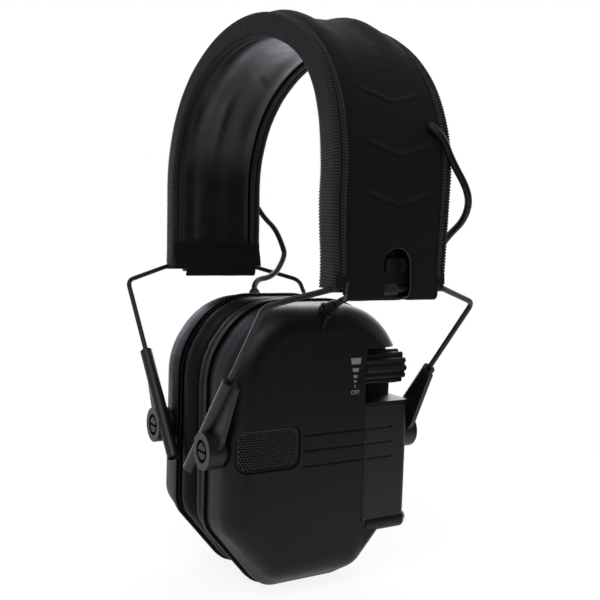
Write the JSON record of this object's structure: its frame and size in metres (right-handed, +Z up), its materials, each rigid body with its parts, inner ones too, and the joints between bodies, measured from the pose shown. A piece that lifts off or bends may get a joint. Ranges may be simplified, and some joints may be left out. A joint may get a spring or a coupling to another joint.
{
  "type": "earmuff hearing protector",
  "caption": "Folding electronic earmuff hearing protector with padded headband, wire bails, sliding cups, volume knob and battery door.",
  "frame": {"origin": "underside of the headband at its crown, where it rests on the head", "axes": "+Z up; +X towards the cup with the volume knob; +Y towards the back edge of the headband"},
  "size_m": [0.162, 0.0946, 0.222],
  "materials": {
    "band_fabric": "close matte weave",
    "hem_fabric": "close matte weave",
    "binding_fabric": "ribbed ribbon",
    "liner_leather": "smooth satin artificial leather",
    "foam": "open-cell foam",
    "spring_steel": "spring temper",
    "hinge_plastic": "fine grain",
    "wire": "black satin over steel wire",
    "shell_plastic": "soft-touch coat",
    "cushion_skin": "smooth artificial leather",
    "screw_steel": "zinc plated",
    "speaker_plastic": "moulded",
    "grille_metal": "black perforated sheet",
    "microphone_metal": "satin can",
    "gland_rubber": "matte",
    "slider_plastic": "satin nylon",
    "stud_plastic": "acetal",
    "lead_jacket": "satin jacket",
    "knob_plastic": "fluted, satin",
    "shaft_steel": "turned",
    "bay_plastic": "moulded",
    "cell_wrap": "plain sleeve",
    "contact_steel": "nickel plated",
    "board": "solder mask",
    "jack_metal": "nickel plated"
  },
  "bodies": {
    "headband": {"band_cover": "band_fabric", "band_spring": "spring_steel", "band_pad": "foam", "band_liner": "liner_leather", "binding_front": "binding_fabric", "binding_back": "binding_fabric", "control_hem": "hem_fabric", "control_hinge_plate": "hinge_plastic", "control_eyelet": "gland_rubber", "control_lead_upper": "lead_jacket", "plain_hem": "hem_fabric", "plain_hinge_plate": "hinge_plastic", "plain_eyelet": "gland_rubber", "plain_lead_upper": "lead_jacket"},
    "control_bail_body": {"control_bail": "wire", "control_lead_middle": "lead_jacket"},
    "control_sliders": {"control_slider_front": "slider_plastic", "control_slider_back": "slider_plastic"},
    "control_cup": {"control_shell": "shell_plastic", "control_back_plate": "shell_plastic", "control_cushion": "cushion_skin", "control_screws": "screw_steel", "control_foam": "foam", "control_speaker": "speaker_plastic", "control_mic_grille": "grille_metal", "control_microphone": "microphone_metal", "control_gland": "gland_rubber", "control_stud_front": "stud_plastic", "control_stud_back": "stud_plastic", "control_lead_lower": "lead_jacket", "potentiometer": "speaker_plastic", "battery_bay": "bay_plastic", "cells": "cell_wrap", "battery_contacts": "contact_steel", "circuit_board": "board", "audio_jack": "jack_metal", "door_pin": "shaft_steel"},
    "plain_bail_body": {"plain_bail": "wire", "plain_lead_middle": "lead_jacket"},
    "plain_sliders": {"plain_slider_front": "slider_plastic", "plain_slider_back": "slider_plastic"},
    "plain_cup": {"plain_shell": "shell_plastic", "plain_back_plate": "shell_plastic", "plain_cushion": "cushion_skin", "plain_screws": "screw_steel", "plain_foam": "foam", "plain_speaker": "speaker_plastic", "plain_mic_grille": "grille_metal", "plain_microphone": "microphone_metal", "plain_gland": "gland_rubber", "plain_stud_front": "stud_plastic", "plain_stud_back": "stud_plastic", "plain_lead_lower": "lead_jacket"},
    "knob": {"volume_knob": "knob_plastic", "knob_shaft": "shaft_steel"},
    "door": {"battery_door": "shell_plastic"}
  },
  "joints": [
    {"name": "control_swing", "type": "hinge", "parent": "headband", "child": "control_bail_body", "pos_m": [0.07013, 0, -0.0925], "axis": [0, -1, 0], "range_deg": [0, 30], "stiffness_Nm_per_rad": 0.6, "springref_deg": -20.05, "deforming": ["control_lead_upper", "control_lead_middle", "control_lead_lower"]},
    {"name": "control_slide", "type": "slide", "parent": "control_bail_body", "child": "control_sliders", "axis": [0.6374, 0, 0.7705], "range_m": [0, 0.025], "deforming": ["control_lead_upper", "control_lead_middle", "control_lead_lower"]},
    {"name": "control_tilt", "type": "hinge", "parent": "control_sliders", "child": "control_cup", "pos_m": [0.02365, 0, -0.15518], "axis": [0, -1, 0], "range_deg": [-6, 8], "deforming": ["control_lead_upper", "control_lead_middle", "control_lead_lower", "control_cushion"]},
    {"name": "plain_swing", "type": "hinge", "parent": "headband", "child": "plain_bail_body", "pos_m": [-0.07013, 0, -0.0925], "axis": [0, 1, 0], "range_deg": [0, 30], "stiffness_Nm_per_rad": 0.6, "springref_deg": -20.05, "deforming": ["plain_lead_upper", "plain_lead_middle", "plain_lead_lower"]},
    {"name": "plain_slide", "type": "slide", "parent": "plain_bail_body", "child": "plain_sliders", "axis": [-0.6374, 0, 0.7705], "range_m": [0, 0.025], "deforming": ["plain_lead_upper", "plain_lead_middle", "plain_lead_lower"]},
    {"name": "plain_tilt", "type": "hinge", "parent": "plain_sliders", "child": "plain_cup", "pos_m": [-0.02365, 0, -0.15518], "axis": [0, 1, 0], "range_deg": [-6, 8], "deforming": ["plain_lead_upper", "plain_lead_middle", "plain_lead_lower", "plain_cushion"]},
    {"name": "volume_turn", "type": "hinge", "parent": "control_cup", "child": "knob", "pos_m": [0.0263, 0.02, -0.1275], "axis": [0, 1, 0], "range_deg": [0, 270]},
    {"name": "door_open", "type": "hinge", "parent": "control_cup", "child": "door", "pos_m": [0.0313, 0.0205, -0.16475], "axis": [0, 0, -1], "range_deg": [0, 95]}
  ]
}
